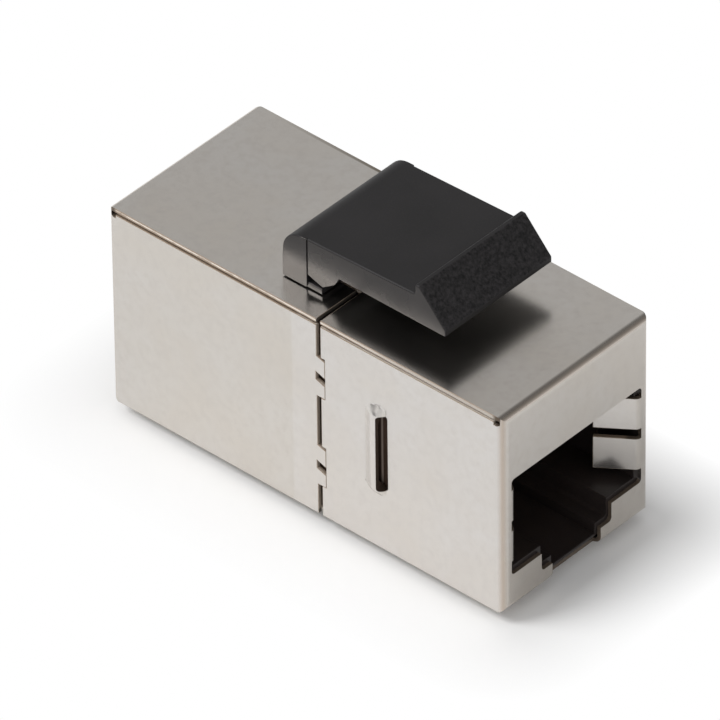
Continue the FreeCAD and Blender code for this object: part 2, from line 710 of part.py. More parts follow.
# Jack housings
def jack_housing(label, turned):
    """Moulded block with the plug cavity, comb slots, carrier pocket and hollow back."""
    body = new_body(label, turned)
    half_housing = wall_inside - d.fit_gap
    bottom = d.sheet + d.fit_gap
    top = roof_inside - d.fit_gap
    block = new_sketch(body, "block", "YZ_Plane", board_face)
    rectangle(block, -half_housing, half_housing, bottom, top)
    pad(body, block, panel_inside - board_face)
    dress(body, "Chamfer", "panel_end", lies_at_x(panel_inside), Size=d.housing_corner)
    wide = port_width - 2 * d.port_inset
    ceiling = cavity_ceiling
    floor = d.port_floor + d.port_inset
    cavity = new_sketch(body, "cavity", "YZ_Plane", panel_inside)
    rectangle(cavity, -wide / 2, wide / 2, floor, ceiling)
    pocket(body, cavity, d.cavity_depth)
    steps = new_sketch(body, "steps", "YZ_Plane", panel_inside)
    key = d.key_width - 2 * d.key_inset
    lever = d.lever_width - 2 * d.key_inset
    right = [(key / 2, (floor + ceiling) / 2)]
    draw(steps, mirrored(right + lower_steps(key, d.key_floor + d.port_inset, lever, d.lever_floor)))
    pocket(body, steps, d.key_depth)
    recess = new_sketch(body, "tab_recess", "YZ_Plane", panel_inside)
    recess_side = port_width / 2 + d.fit_gap
    recess_low = tab_top - 2 * tab_height - d.tab_gap - d.fit_gap
    rectangle(recess, -recess_side, recess_side, recess_low, tab_top + d.fit_gap)
    pocket(body, recess, d.tab_recess)
    core = new_sketch(body, "core", "YZ_Plane", board_face)
    core_side = half_housing - d.housing_wall
    rectangle(core, -core_side, core_side, d.core_floor, ceiling - d.core_cover)
    pocket(body, core, cavity_back - d.back_wall - board_face, reverse=True)
    carrier_pocket = new_sketch(body, "carrier_pocket", "YZ_Plane", board_face)
    pocket_side = d.carrier_width / 2 + d.fit_gap
    rectangle(carrier_pocket, -pocket_side, pocket_side, ceiling, carrier_top + d.fit_gap)
    pocket(body, carrier_pocket, carrier_length + d.fit_gap, reverse=True)
    comb = new_sketch(body, "comb", "YZ_Plane", board_face)
    slot_top = run_height + d.contact_thickness / 2 + d.slot_room
    first = -(CONTACT_COUNT - 1) / 2 * d.contact_pitch
    rectangle(comb, first - d.slot_width / 2, first + d.slot_width / 2, ceiling, slot_top)
    slot = pocket(body, comb, half_length - d.slot_front - board_face, reverse=True)
    repeat_across(body, slot, "comb_row")
    pegs = new_sketch(body, "pegs", "YZ_Plane", board_face)
    circle(pegs, peg_reach, d.peg_low, d.peg_radius)
    circle(pegs, -peg_reach, d.peg_high, d.peg_radius)
    pad(body, pegs, d.peg_length, reverse=True)
    if turned:
        flange = new_sketch(body, "flange_pocket", "XY_Plane", top)
        wing = d.stem_width / 2 + d.flange_wing + d.fit_gap
        rectangle(flange, board_face, -stem_rear + d.flange_lip + d.fit_gap, -wing, wing)
        pocket(body, flange, d.flange_thickness)
    return body


def repeat_across(body, original, name):
    """Repeat a feature at the contact pitch across the body."""
    pattern = body.newObject("PartDesign::LinearPattern", "%s_%s" % (body.Label, name))
    pattern.Originals = [original]
    axis = next(item for item in body.Origin.OriginFeatures if item.Role == "Y_Axis")
    pattern.Direction = (axis, [""])
    pattern.Occurrences = CONTACT_COUNT
    bind(pattern, "Length", (CONTACT_COUNT - 1) * d.contact_pitch)
    body.Tip = pattern
    return pattern


# Contacts, carriers and board
def contact_place(index):
    """Distance of a contact from the middle plane."""
    return (index - (CONTACT_COUNT - 1) / 2) * d.contact_pitch


def tail_level(index):
    """Tails stand in two staggered rows."""
    return tail_low if index % 2 == 0 else tail_high


def contact_carrier(label, turned):
    """Moulded insert with a slot and a tail hole for each contact."""
    body = new_body(label, turned)
    bottom = cavity_ceiling + d.fit_gap
    block = new_sketch(body, "block", "YZ_Plane", board_face)
    rectangle(block, -d.carrier_width / 2, d.carrier_width / 2, bottom, carrier_top)
    pad(body, block, carrier_length)
    recess = new_sketch(body, "solder_recess", "YZ_Plane", board_face)
    side = CONTACT_COUNT / 2 * d.contact_pitch + d.fit_gap
    rectangle(recess, -side, side, tail_low - d.solder_room, tail_high + d.solder_room)
    pocket(body, recess, d.solder_room, reverse=True)
    half_slot = d.slot_width / 2
    holes = new_sketch(body, "tail_holes", "YZ_Plane", board_face)
    slots = new_sketch(body, "slots", "YZ_Plane", d.carrier_slot)
    for index in range(CONTACT_COUNT):
        place = contact_place(index)
        level = tail_level(index)
        rectangle(holes, place - half_slot, place + half_slot, level - half_slot, level + half_slot)
        rectangle(slots, place - half_slot, place + half_slot, bottom, level + half_slot)
    pocket(body, holes, d.carrier_slot - board_face, reverse=True)
    pocket(body, slots, carrier_length, reverse=True)
    return body


def contact(label, index, turned):
    """Spring contact: tail, step down, run over the cavity, hairpin and sloping free leg."""
    body = new_body(label, turned)
    bind(body, "Placement.Base.y", -contact_place(index) if turned else contact_place(index))
    level = tail_level(index)
    start = -board_face - d.tail_past
    bend = tail_rise * STEP_BEND
    path = new_sketch(body, "path", "XZ_Plane")
    draw(path, [
        (start, level),
        (d.drop_place, level, bend),
        (d.drop_place, run_height, bend),
        (half_length - d.hairpin_set, run_height, d.hairpin_bend),
        (cavity_back + d.tip_room, d.tip_height),
    ], closed=False)
    section = new_sketch(body, "section", "YZ_Plane", start)
    rectangle(section, -d.contact_width / 2, d.contact_width / 2,
              level - d.contact_thickness / 2, level + d.contact_thickness / 2)
    strip = body.newObject("PartDesign::AdditivePipe", label + "_strip")
    strip.Profile = section
    strip.Spine = path
    return body


def circuit_board():
    """Board across the middle with tail holes in two rows and holes for the housing pegs."""
    body = new_body("circuit_board")
    side = wall_inside - d.board_margin
    blank = new_sketch(body, "blank", "YZ_Plane")
    rectangle(blank, -side, side, d.sheet + d.board_margin, roof_inside - d.board_margin)
    pad(body, blank, d.board_thickness, symmetric=True)
    rows = new_sketch(body, "tail_holes", "YZ_Plane")
    for level in (tail_low, tail_high):
        circle(rows, contact_place(0), level, d.hole_radius)
    drilled = pocket(body, rows, d.board_thickness, symmetric=True)
    repeat_across(body, drilled, "tail_rows")
    pegs = new_sketch(body, "peg_holes", "YZ_Plane")
    for reach in (peg_reach, -peg_reach):
        for level in (d.peg_low, d.peg_high):
            circle(pegs, reach, level, d.peg_radius + d.fit_gap / 2)
    pocket(body, pegs, d.board_thickness, symmetric=True)
    return body


# Assembly
bodies = [front_shield(), rear_shield(), latch_clip(), circuit_board()]
for end, turned in (("front", False), ("rear", True)):
    bodies.append(jack_housing(end + "_jack_housing", turned))
    bodies.append(contact_carrier(end + "_contact_carrier", turned))
    for index in range(CONTACT_COUNT):
        bodies.append(contact("%s_contact_%d" % (end, index + 1), index, turned))
doc.recompute()

# Every object is sound before a file is written
for item in doc.Objects:
    if "Invalid" in item.State or "Error" in item.State:
        raise RuntimeError("%s is %s" % (item.Label, item.State))
for body in bodies:
    if body.Shape.isNull() or not body.Shape.isValid():
        raise RuntimeError(body.Label + " has no sound shape")
    print("%-24s %d solid  %.3f mm3" % (body.Label, len(body.Shape.Solids), body.Shape.Volume))
for body in bodies:
    body.Shape.exportStep("parts/%s.step" % body.Label)
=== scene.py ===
"""Shielded keystone coupler: plated can, moulded latch, sockets and contact rows on a stage."""
import math

import bmesh
import bpy
from bpy.props import FloatProperty, FloatVectorProperty, IntProperty, PointerProperty
from mathutils import Matrix, Vector
from mathutils.bvhtree import BVHTree


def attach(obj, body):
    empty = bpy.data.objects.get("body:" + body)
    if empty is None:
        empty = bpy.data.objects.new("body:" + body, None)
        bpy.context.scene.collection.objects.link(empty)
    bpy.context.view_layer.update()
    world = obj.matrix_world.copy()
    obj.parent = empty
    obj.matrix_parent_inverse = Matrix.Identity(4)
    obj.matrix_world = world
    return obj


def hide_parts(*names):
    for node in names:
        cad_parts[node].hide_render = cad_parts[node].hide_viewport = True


bl_info = {
    "name": "Keystone Coupler",
    "version": (1, 0, 0),
    "blender": (4, 5, 0),
    "location": "View3D > Sidebar > Coupler",
    "description": "Finishes a shielded keystone coupler and lights it on a plain stage",
    "category": "Object",
}

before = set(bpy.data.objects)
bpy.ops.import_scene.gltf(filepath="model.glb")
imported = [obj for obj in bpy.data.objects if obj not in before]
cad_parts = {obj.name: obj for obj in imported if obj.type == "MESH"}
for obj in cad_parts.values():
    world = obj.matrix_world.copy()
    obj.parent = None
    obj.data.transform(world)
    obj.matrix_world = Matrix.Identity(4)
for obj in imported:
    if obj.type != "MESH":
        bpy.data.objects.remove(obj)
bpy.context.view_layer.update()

MILLIMETRE = 0.001
BODY = "root"
SOCKETS = {"front": 1, "rear": -1}

# Joining, rounding and shading of meshes
MERGE = 1e-7
SLIVER = 1e-6
FLAT = math.radians(0.3)
SHARP = math.radians(28.0)
CREASE = math.radians(38.0)
SMALL_CREASE = math.radians(62.0)
SMALL_FACE = 0.06e-6
ROUND_STEPS = 3
ROUND_ROOM = 1.1

# Material slots of the shields and of the latch
CUT_SLOT = 1
INSIDE_SHADE_SLOT = 2
RAMP_SLOT = 1
FLANK_SLOT = 2

# How far a face's normal points along an axis
SQUARE = 0.05
SIDEWAYS = 0.9
RAMP_LEAN = 0.12
RAMP_RISE = 0.3
FULL_BEND = 0.25
FACING = (0.6, 0.9)
TURNED = (0.2, 0.7)
FORWARD = (1.0, 0.0, 0.0)

# Where the can's painted light and shade and its cut edges' tones change, along it and across its roof
SEAM = (-1.1 * MILLIMETRE, -0.9 * MILLIMETRE)
FRONT_RUN = (-3.0 * MILLIMETRE, 9.0 * MILLIMETRE)
BROW_RUN = (10.0 * MILLIMETRE, 15.0 * MILLIMETRE)
BROW_ACROSS = (-7.0 * MILLIMETRE, 6.0 * MILLIMETRE)
BROW_MOST = 1.5

# Heights of the contacts' tails in millimetres
TAILS = (("low", 12.1895), ("high", 13.5125))

# Stage: lengths in metres, spread of the room's dark parts in degrees
FLOOR_HALF = 2.0
CLIP_START = 0.01
CLIP_END = 20.0
KEY_SIZE = 0.275
KEY_DISTANCE = 0.55
RIGHT_SPREAD = 38.0
LEFT_SPREAD = 26.0
DARK_CORE = 0.4


# Settings that a user may change
class ShieldSettings(bpy.types.PropertyGroup):
    """Plated sheet of the two shields."""

    plate_colour: FloatVectorProperty(
        name="Plate Colour", description="Colour of the satin plate",
        subtype="COLOR", size=3, min=0.0, max=1.0, default=(0.66, 0.631, 0.595))
    plate_roughness: FloatProperty(
        name="Plate Roughness", description="Blur of the plate's reflections",
        subtype="FACTOR", min=0.0, max=1.0, default=0.23)
    mark_tint: FloatVectorProperty(
        name="Mark Tint", description="Warm tint of the handling marks",
        subtype="COLOR", size=3, min=0.0, max=1.0, default=(0.985, 0.965, 0.935))
    speck_tint: FloatVectorProperty(
        name="Speck Tint", description="Tint of the small dull specks",
        subtype="COLOR", size=3, min=0.0, max=1.0, default=(0.925, 0.91, 0.895))
    # The bends are tinted darker and warmer than the flat plate.
    bend_tint: FloatVectorProperty(
        name="Bend Tint", description="Warm tint where the plate thins over a bend",
        subtype="COLOR", size=3, min=0.0, max=1.0, default=(0.84, 0.76, 0.69))
    bend_roughness: FloatProperty(
        name="Bend Roughness", description="Blur that the stretched bends add",
        subtype="FACTOR", min=0.0, max=1.0, default=0.09)
    shear_colour: FloatVectorProperty(
        name="Shear Colour", description="Cut edge where the punch sheared it",
        subtype="COLOR", size=3, min=0.0, max=1.0, default=(0.86, 0.785, 0.7))
    edge_colour: FloatVectorProperty(
        name="Edge Colour", description="Cut edge where the sheet broke",
        subtype="COLOR", size=3, min=0.0, max=1.0, default=(0.33, 0.25, 0.185))
    seam_colour: FloatVectorProperty(
        name="Seam Colour", description="Cut edge that faces the other shield",
        subtype="COLOR", size=3, min=0.0, max=1.0, default=(0.4, 0.345, 0.285))
    # Painted shade: the inside of the sheet is painted dark brown where it lies in shade.
    inside_shade_colour: FloatVectorProperty(
        name="Inside Shade Colour", description="Dull inside of the side walls",
        subtype="COLOR", size=3, min=0.0, max=1.0, default=(0.05, 0.034, 0.025))
    # Painted shade: a dark line painted along the rear roof's far edge in place of the rolled edge's dark
    # reflection.
    far_edge_shade_tint: FloatVectorProperty(
        name="Dip Tint", description="Tint where the rear roof's far edge turns down to its seam",
        subtype="COLOR", size=3, min=0.0, max=1.0, default=(0.34, 0.31, 0.26))
    # Painted light: the front shield's side walls are painted lighter.
    wall_light_tint: FloatVectorProperty(
        name="Wall Tint", description="Tint of the front shield's side walls",
        subtype="COLOR", size=3, min=0.0, max=1.2, default=(1.05, 1.06, 1.085))
    # Painted shade: the end panels, and the roof beside the front one where the latch's dark reflection
    # falls, are painted darker.
    end_shade_tint: FloatVectorProperty(
        name="End Tint", description="Tint of the end panels and of the roof beside the front one",
        subtype="COLOR", size=3, min=0.0, max=1.2, default=(0.92, 0.91, 0.9))
    # Where along the body that painted shade starts and where it is full.
    far_edge_shade_run: FloatVectorProperty(
        name="Dip Run", description="Where that edge starts to turn down and is down",
        subtype="XYZ", unit="LENGTH", size=2, default=(-15.0 * MILLIMETRE, -5.5 * MILLIMETRE))
    edge_round: FloatProperty(
        name="Edge Round", description="Rolled-over edge of the punched sheet",
        subtype="DISTANCE", unit="LENGTH", min=0.0, default=0.045 * MILLIMETRE)
    sheet: FloatProperty(
        name="Sheet", description="Thickness of the shield sheet",
        subtype="DISTANCE", unit="LENGTH", min=0.0, default=0.3 * MILLIMETRE)
    stop_start: FloatProperty(
        name="Stop Start", description="Where the part of the walls with the lanced stop begins",
        subtype="DISTANCE", unit="LENGTH", default=4.0 * MILLIMETRE)
    can_middle: FloatVectorProperty(
        name="Can Middle", description="Middle of the closed can",
        subtype="XYZ", unit="LENGTH", size=3, default=(0.0, 0.0, 9.0 * MILLIMETRE))
    can_half: FloatVectorProperty(
        name="Can Half Size", description="Half of the closed can each way",
        subtype="XYZ", unit="LENGTH", size=3,
        default=(17.2 * MILLIMETRE, 7.25 * MILLIMETRE, 8.1 * MILLIMETRE))


class MouldingSettings(bpy.types.PropertyGroup):
    """Black mouldings: latch, socket housings and contact carriers."""

    latch_colour: FloatVectorProperty(
        name="Latch Colour", description="Colour of the latch",
        subtype="COLOR", size=3, min=0.0, max=1.0, default=(0.0128, 0.0116, 0.0122))
    housing_colour: FloatVectorProperty(
        name="Housing Colour", description="Colour of the socket housings",
        subtype="COLOR", size=3, min=0.0, max=1.0, default=(0.02, 0.0155, 0.0145))
    # Painted shade: the housings' outer sides are brown, standing in for shaded metal seen through the
    # seams and slots.
    side_shade_colour: FloatVectorProperty(
        name="Housing Side Shade Colour", description="Brownish sides of the housings behind the shields",
        subtype="COLOR", size=3, min=0.0, max=1.0, default=(0.06, 0.037, 0.026))
    carrier_colour: FloatVectorProperty(
        name="Carrier Colour", description="Colour of the contact carriers",
        subtype="COLOR", size=3, min=0.0, max=1.0, default=(0.05, 0.05, 0.052))
    # Painted highlight: a bright line painted on the housing's side behind the stop's slot.
    highlight_line_colour: FloatVectorProperty(
        name="Highlight Line Colour", description="Bright line on the housing's side behind the stop's slot",
        subtype="COLOR", size=3, min=0.0, max=1.0, default=(0.42, 0.34, 0.29))
    highlight_line_place: FloatProperty(
        name="Highlight Line Place", description="Where that line stands along the body",
        subtype="DISTANCE", unit="LENGTH", default=6.45 * MILLIMETRE)
    highlight_line_width: FloatProperty(
        name="Highlight Line Width", description="Width of that line",
        subtype="DISTANCE", unit="LENGTH", min=0.0, default=0.17 * MILLIMETRE)
    flank_sheen: FloatVectorProperty(
        name="Flank Sheen", description="Tint of the reflections on the latch's flanks",
        subtype="COLOR", size=3, min=0.0, max=1.0, default=(1.0, 0.93, 0.88))
    latch_round: FloatProperty(
        name="Latch Edge Round", description="Rounding of the latch's edges",
        subtype="DISTANCE", unit="LENGTH", min=0.0, default=0.09 * MILLIMETRE)
    housing_round: FloatProperty(
        name="Housing Edge Round", description="Rounding of the housings' edges",
        subtype="DISTANCE", unit="LENGTH", min=0.0, default=0.06 * MILLIMETRE)


class ContactSettings(bpy.types.PropertyGroup):
    """Spring contacts in both sockets and the board between them."""

    pitch: FloatProperty(
        name="Pitch", description="One contact to the next",
        subtype="DISTANCE", unit="LENGTH", default=1.02 * MILLIMETRE)
    width: FloatProperty(
        name="Width", description="Contact wire across",
        subtype="DISTANCE", unit="LENGTH", default=0.45 * MILLIMETRE)
    thickness: FloatProperty(
        name="Thickness", description="Contact wire through",
        subtype="DISTANCE", unit="LENGTH", default=0.32 * MILLIMETRE)
    corner: FloatProperty(
        name="Corner", description="Rounded corner of the wire",
        subtype="DISTANCE", unit="LENGTH", default=0.07 * MILLIMETRE)
    per_row: IntProperty(
        name="Contacts per Row", description="Contacts that share one tail height",
        min=1, default=4)
    gold_colour: FloatVectorProperty(
        name="Gold Colour", description="Plating of the contacts",
        subtype="COLOR", size=3, min=0.0, max=1.0, default=(0.86, 0.63, 0.28))
    board_colour: FloatVectorProperty(
        name="Board Colour", description="Lacquer of the circuit board",
        subtype="COLOR", size=3, min=0.0, max=1.0, default=(0.03, 0.17, 0.075))


class StageSettings(bpy.types.PropertyGroup):
    """Camera, floor and lights."""

    azimuth: FloatProperty(
        name="Azimuth", description="Camera round the object",
        subtype="ANGLE", unit="ROTATION", default=math.radians(42.15))
    elevation: FloatProperty(
        name="Elevation", description="Camera above the horizon",
        subtype="ANGLE", unit="ROTATION", default=math.radians(38.49))
    roll: FloatProperty(
        name="Roll", description="Camera about its own axis",
        subtype="ANGLE", unit="ROTATION", default=math.radians(-0.7))
    distance: FloatProperty(
        name="Distance", description="Camera to the aiming point",
        subtype="DISTANCE", unit="LENGTH", default=0.8903)
    lens: FloatProperty(
        name="Lens", description="Focal length of the camera",
        subtype="DISTANCE_CAMERA", default=680.76)
    aim: FloatVectorProperty(
        name="Aim", description="Point that the camera's offsets start from",
        subtype="XYZ", unit="LENGTH", size=3, default=(0.0, 0.0, 8.9 * MILLIMETRE))
    shift: FloatVectorProperty(
        name="Shift", description="Camera to the right and up from the aiming point",
        subtype="XYZ", unit="LENGTH", size=2, default=(-1.19 * MILLIMETRE, -0.12 * MILLIMETRE))
    floor_colour: FloatVectorProperty(
        name="Floor Colour", description="Plain pale floor",
        subtype="COLOR", size=3, min=0.0, max=1.0, default=(0.94, 0.94, 0.94))
    footprint: FloatVectorProperty(
        name="Footprint", description="Half size of the object on the floor",
        subtype="XYZ", unit="LENGTH", size=3, default=(17.2 * MILLIMETRE, 7.25 * MILLIMETRE, 0.0))
    shadow_reach: FloatVectorProperty(
        name="Shadow Reach", description="Where the floor in view starts to go white and is white",
        subtype="XYZ", unit="LENGTH", size=2, default=(1.0 * MILLIMETRE, 7.5 * MILLIMETRE))
    mirror_reach: FloatVectorProperty(
        name="Mirror Reach", description="The same for the floor seen in the metal",
        subtype="XYZ", unit="LENGTH", size=2, default=(25.0 * MILLIMETRE, 70.0 * MILLIMETRE))
    key_power: FloatProperty(
        name="Key Power", description="Soft light from the left of the camera, in watts",
        min=0.0, default=1.6)
    sky_level: FloatProperty(
        name="Sky Level", description="Mean brightness of the room",
        min=0.0, default=0.66)
    sky_slope: FloatProperty(
        name="Sky Slope", description="How much brighter the room is behind the camera",
        min=0.0, default=0.15)
    dark_right: FloatVectorProperty(
        name="Dark Right", description="Direction of the dark part of the room on the right",
        subtype="DIRECTION", size=3, default=(0.38, 0.6, 0.7))
    dark_left: FloatVectorProperty(
        name="Dark Left", description="Direction of the dark part of the room below the soft light",
        subtype="DIRECTION", size=3, default=(-0.53, -0.84, 0.06))
    dark_depth: FloatProperty(
        name="Dark Depth", description="How much darker those parts are",
        min=0.0, default=0.45)
    key_height: FloatProperty(
        name="Key Height", description="Soft light above the horizon",
        subtype="ANGLE", unit="ROTATION", default=math.radians(47.0))


# Shader node helpers
def feed(tree, socket, value):
    """Input linked to another socket or set to a value."""
    if isinstance(value, bpy.types.NodeSocket):
        tree.links.new(value, socket)
    else:
        socket.default_value = value


def new_group(name, inputs):
    """Shader node group with a place and named numbers or vectors as inputs."""
    tree = bpy.data.node_groups.new(name, "ShaderNodeTree")
    tree.interface.new_socket("Vector", in_out="INPUT", socket_type="NodeSocketVector")
    for label, default in inputs.items():
        kind = "NodeSocketFloat" if isinstance(default, float) else "NodeSocketVector"
        tree.interface.new_socket(label, in_out="INPUT", socket_type=kind).default_value = default
    return tree, tree.nodes.new("NodeGroupInput").outputs


def close_group(tree, results):
    """The group with its named results as outputs."""
    for label in results:
        tree.interface.new_socket(label, in_out="OUTPUT", socket_type="NodeSocketFloat")
    exit_node = tree.nodes.new("NodeGroupOutput")
    for label, result in results.items():
        tree.links.new(result, exit_node.inputs[label])
    return tree


def math_node(tree, operation, *values):
    """Result of a math node fed by sockets or numbers."""
    node = tree.nodes.new("ShaderNodeMath")
    node.operation = operation
    for socket, value in zip(node.inputs, values):
        feed(tree, socket, value)
    return node.outputs[0]


def vector_node(tree, operation, *values):
    """Result of a vector math node fed by sockets or vectors."""
    node = tree.nodes.new("ShaderNodeVectorMath")
    node.operation = operation
    for socket, value in zip(node.inputs, values):
        feed(tree, socket, value)
    return node.outputs["Value" if operation in ("DOT_PRODUCT", "LENGTH") else "Vector"]


def split(tree, vector):
    """X, Y and Z of a vector."""
    node = tree.nodes.new("ShaderNodeSeparateXYZ")
    tree.links.new(vector, node.inputs[0])
    return node.outputs


def product(tree, mask, *others):
    """Masks multiplied together."""
    for other in others:
        mask = math_node(tree, "MULTIPLY", mask, other)
    return mask


def remap(tree, value, low, high, start=0.0, end=1.0):
    """Value stretched from low..high to start..end and held inside it."""
    node = tree.nodes.new("ShaderNodeMapRange")
    for label, number in (("From Min", low), ("From Max", high), ("To Min", start), ("To Max", end)):
        node.inputs[label].default_value = number
    tree.links.new(value, node.inputs["Value"])
    return node.outputs["Result"]


def noise(tree, place, scale, **values):
    """Noise over a place, at the scale that a socket gives."""
    node = tree.nodes.new("ShaderNodeTexNoise")
    tree.links.new(place, node.inputs["Vector"])
    tree.links.new(scale, node.inputs["Scale"])
    for name, value in values.items():
        node.inputs[name.title()].default_value = value
    return node.outputs["Fac"]


def metal_grain_group():
    """Fine even grain of plated metal, soft handling marks and small dull specks."""
    tree, entry = new_group(
        "Metal Grain", {"Scale": 16000.0, "Mark Scale": 160.0, "Speck Scale": 1500.0})
    place = entry["Vector"]
    fine = noise(tree, place, entry["Scale"], detail=2.0, roughness=0.6)
    marks = noise(tree, place, entry["Mark Scale"], detail=4.0, roughness=0.55, distortion=0.6)
    specks = noise(tree, place, entry["Speck Scale"], detail=5.0, roughness=0.7)
    return close_group(tree, {
        "Grain": fine,
        "Marks": remap(tree, marks, 0.35, 0.7),
        "Specks": remap(tree, specks, 0.45, 0.75),
    })


def moulded_grain_group():
    """Pitted texture of an eroded mould, with the odd bright fleck."""
    tree, entry = new_group("Moulded Grain", {"Scale": 6000.0, "Patch Scale": 220.0})
    place = entry["Vector"]
    pits = noise(tree, place, entry["Scale"], detail=2.0, roughness=0.7)
    patch = noise(tree, place, entry["Patch Scale"], detail=3.0)
    cells = tree.nodes.new("ShaderNodeTexVoronoi")
    tree.links.new(place, cells.inputs["Vector"])
    tree.links.new(entry["Scale"], cells.inputs["Scale"])
    return close_group(tree, {
        "Height": product(tree, pits, cells.outputs["Distance"]),
        "Fleck": remap(tree, pits, 0.5, 0.68),
        "Pitted": remap(tree, pits, 0.32, 0.68),
        "Patch": remap(tree, patch, 0.35, 0.65),
    })


def new_material(name):
    """Material with a Principled shader and object coordinates."""
    material = bpy.data.materials.new(name)
    material.use_nodes = True
    tree = material.node_tree
    shader = tree.nodes["Principled BSDF"]
    place = tree.nodes.new("ShaderNodeTexCoord")
    return material, tree, shader, place.outputs["Object"]


def place_group(tree, group, place, **values):
    """Outputs of a node group in a material, with its own values."""
    node = tree.nodes.new("ShaderNodeGroup")
    node.node_tree = group
    tree.links.new(place, node.inputs["Vector"])
    for name, value in values.items():
        feed(tree, node.inputs[name.replace("_", " ").title()], value)
    return node.outputs


def blend_colours(tree, mask, first, second, blend="MIX"):
    """Colour that goes from first to second as the mask rises; each is a colour or a socket."""
    node = tree.nodes.new("ShaderNodeMix")
    node.data_type = "RGBA"
    node.blend_type = blend
    tree.links.new(mask, node.inputs["Factor"])
    sockets = [socket for socket in node.inputs if socket.type == "RGBA"]
    for socket, value in zip(sockets, (first, second)):
        feed(tree, socket, value if isinstance(value, bpy.types.NodeSocket) else (*value, 1.0))
    return next(socket for socket in node.outputs if socket.type == "RGBA")


def finish_surface(tree, shader, colour, roughness, height, strength, depth):
    """Colour, roughness and a small relief joined to the shader."""
    tree.links.new(colour, shader.inputs["Base Color"])
    tree.links.new(roughness, shader.inputs["Roughness"])
    bump = tree.nodes.new("ShaderNodeBump")
    bump.inputs["Strength"].default_value = strength
    bump.inputs["Distance"].default_value = depth
    tree.links.new(height, bump.inputs["Height"])
    tree.links.new(bump.outputs["Normal"], shader.inputs["Normal"])


def tinted(colour, tint):
    """The colour seen through a tint."""
    return tuple(channel * share for channel, share in zip(colour, tint))


def shaded(colour, factor):
    """The colour made darker or lighter."""
    return tuple(min(1.0, channel * factor) for channel in colour)


# Materials
def plate_painted_light_group(settings):
    """Masks of painted light and shade: the rear roof's far edge (painted shade), the front shield's walls
    (painted light) and the end panels with the roof beside the front one (painted shade).
    """
    tree, entry = new_group("Plate Painted Light", {"Normal": FORWARD})
    spot = split(tree, entry["Vector"])
    facing = split(tree, vector_node(tree, "ABSOLUTE", entry["Normal"]))
    sheet = settings.sheet
    wall = settings.can_half[1]
    top = settings.can_middle[2] + settings.can_half[2]
    rim = remap(tree, spot["Y"], wall - 1.05 * sheet, wall - 0.75 * sheet)
    roof = remap(tree, spot["Z"], top - 0.8 * sheet, top - 0.6 * sheet)
    rear = remap(tree, spot["X"], *SEAM, 1.0, 0.0)
    front = remap(tree, rear, 0.0, 1.0, 1.0, 0.0)
    brow = product(tree, remap(tree, facing["Z"], *FACING), remap(tree, spot["X"], *BROW_RUN),
                   remap(tree, spot["Y"], *BROW_ACROSS, BROW_MOST, 0.0))
    return close_group(tree, {
        "Far Edge Shade": product(tree, rim, roof, rear, remap(tree, spot["X"], *settings.far_edge_shade_run)),
        "Wall Light": product(tree, remap(tree, facing["Y"], *FACING), front),
        "End": math_node(tree, "MAXIMUM", brow, remap(tree, facing["X"], *FACING)),
    })


def plate_material(settings, grain):
    """Satin nickel plate, darker, warmer and rougher over the bends."""
    material, tree, shader, place = new_material("shield_plate_satin")
    shader.inputs["Metallic"].default_value = 1.0
    effect = place_group(tree, grain, place)
    tone = place_group(tree, plate_painted_light_group(settings), place, normal=place.node.outputs["Normal"])
    attribute = tree.nodes.new("ShaderNodeAttribute")
    attribute.attribute_name = "bend"
    bend = attribute.outputs["Fac"]
    colour = settings.plate_colour
    for mask, tint in ((effect["Marks"], settings.mark_tint), (effect["Specks"], settings.speck_tint),
                       (bend, settings.bend_tint)):
        colour = blend_colours(tree, mask, colour, tinted(settings.plate_colour, tint))
    # Painted shade on the rear roof's far edge, painted light on the front shield's walls, painted shade
    # on the end panels and on the roof beside the front one.
    for mask, tint in ((tone["Far Edge Shade"], settings.far_edge_shade_tint), (tone["Wall Light"], settings.wall_light_tint),
                       (tone["End"], settings.end_shade_tint)):
        colour = blend_colours(tree, mask, colour, tint, "MULTIPLY")
    spread = math_node(tree, "ADD", effect["Marks"], effect["Grain"])
    base = settings.plate_roughness
    rough = remap(tree, spread, 0.0, 2.0, base - 0.04, base + 0.05)
    rough = math_node(tree, "MULTIPLY_ADD", bend, settings.bend_roughness, rough)
    finish_surface(tree, shader, colour, rough, effect["Grain"],
                   strength=0.04, depth=0.002 * MILLIMETRE)
    return material


def sheet_depth_group(settings):
    """Depth through the sheet, from zero to one, and masks of where a cut edge lies and faces."""
    tree, entry = new_group("Sheet Depth", {"Sheet": settings.sheet, "Normal": FORWARD})
    away = vector_node(tree, "ABSOLUTE",
                       vector_node(tree, "SUBTRACT", entry["Vector"], settings.can_middle))
    below = vector_node(tree, "SUBTRACT", settings.can_half, away)
    turned = vector_node(tree, "ABSOLUTE", entry["Normal"])
    across = vector_node(tree, "MULTIPLY", turned, (10.0 * settings.sheet,) * 3)
    sides = split(tree, vector_node(tree, "ADD", below, across))
    nearest = math_node(tree, "MINIMUM", sides["Y"], sides["Z"])
    depth = math_node(tree, "DIVIDE", nearest, entry["Sheet"])
    panel, wall, roof = [math_node(tree, "DIVIDE", part, entry["Sheet"]) for part in split(tree, below)]
    clear = math_node(tree, "MAXIMUM", remap(tree, panel, 0.95, 1.1), remap(tree, wall, 2.2, 2.6))
    facing = split(tree, turned)
    return close_group(tree, {
        "Depth": remap(tree, depth, 0.0, 1.0),
        "Panel": product(tree, remap(tree, panel, 2.0, 3.0, 1.0, 0.0), clear),
        "Across": remap(tree, facing["X"], *TURNED),
        "Upward": remap(tree, facing["Z"], *TURNED),
        "Roof": remap(tree, roof, 1.0, 1.4, 1.0, 0.0),
        "Front": remap(tree, split(tree, entry["Vector"])["X"], *FRONT_RUN),
    })


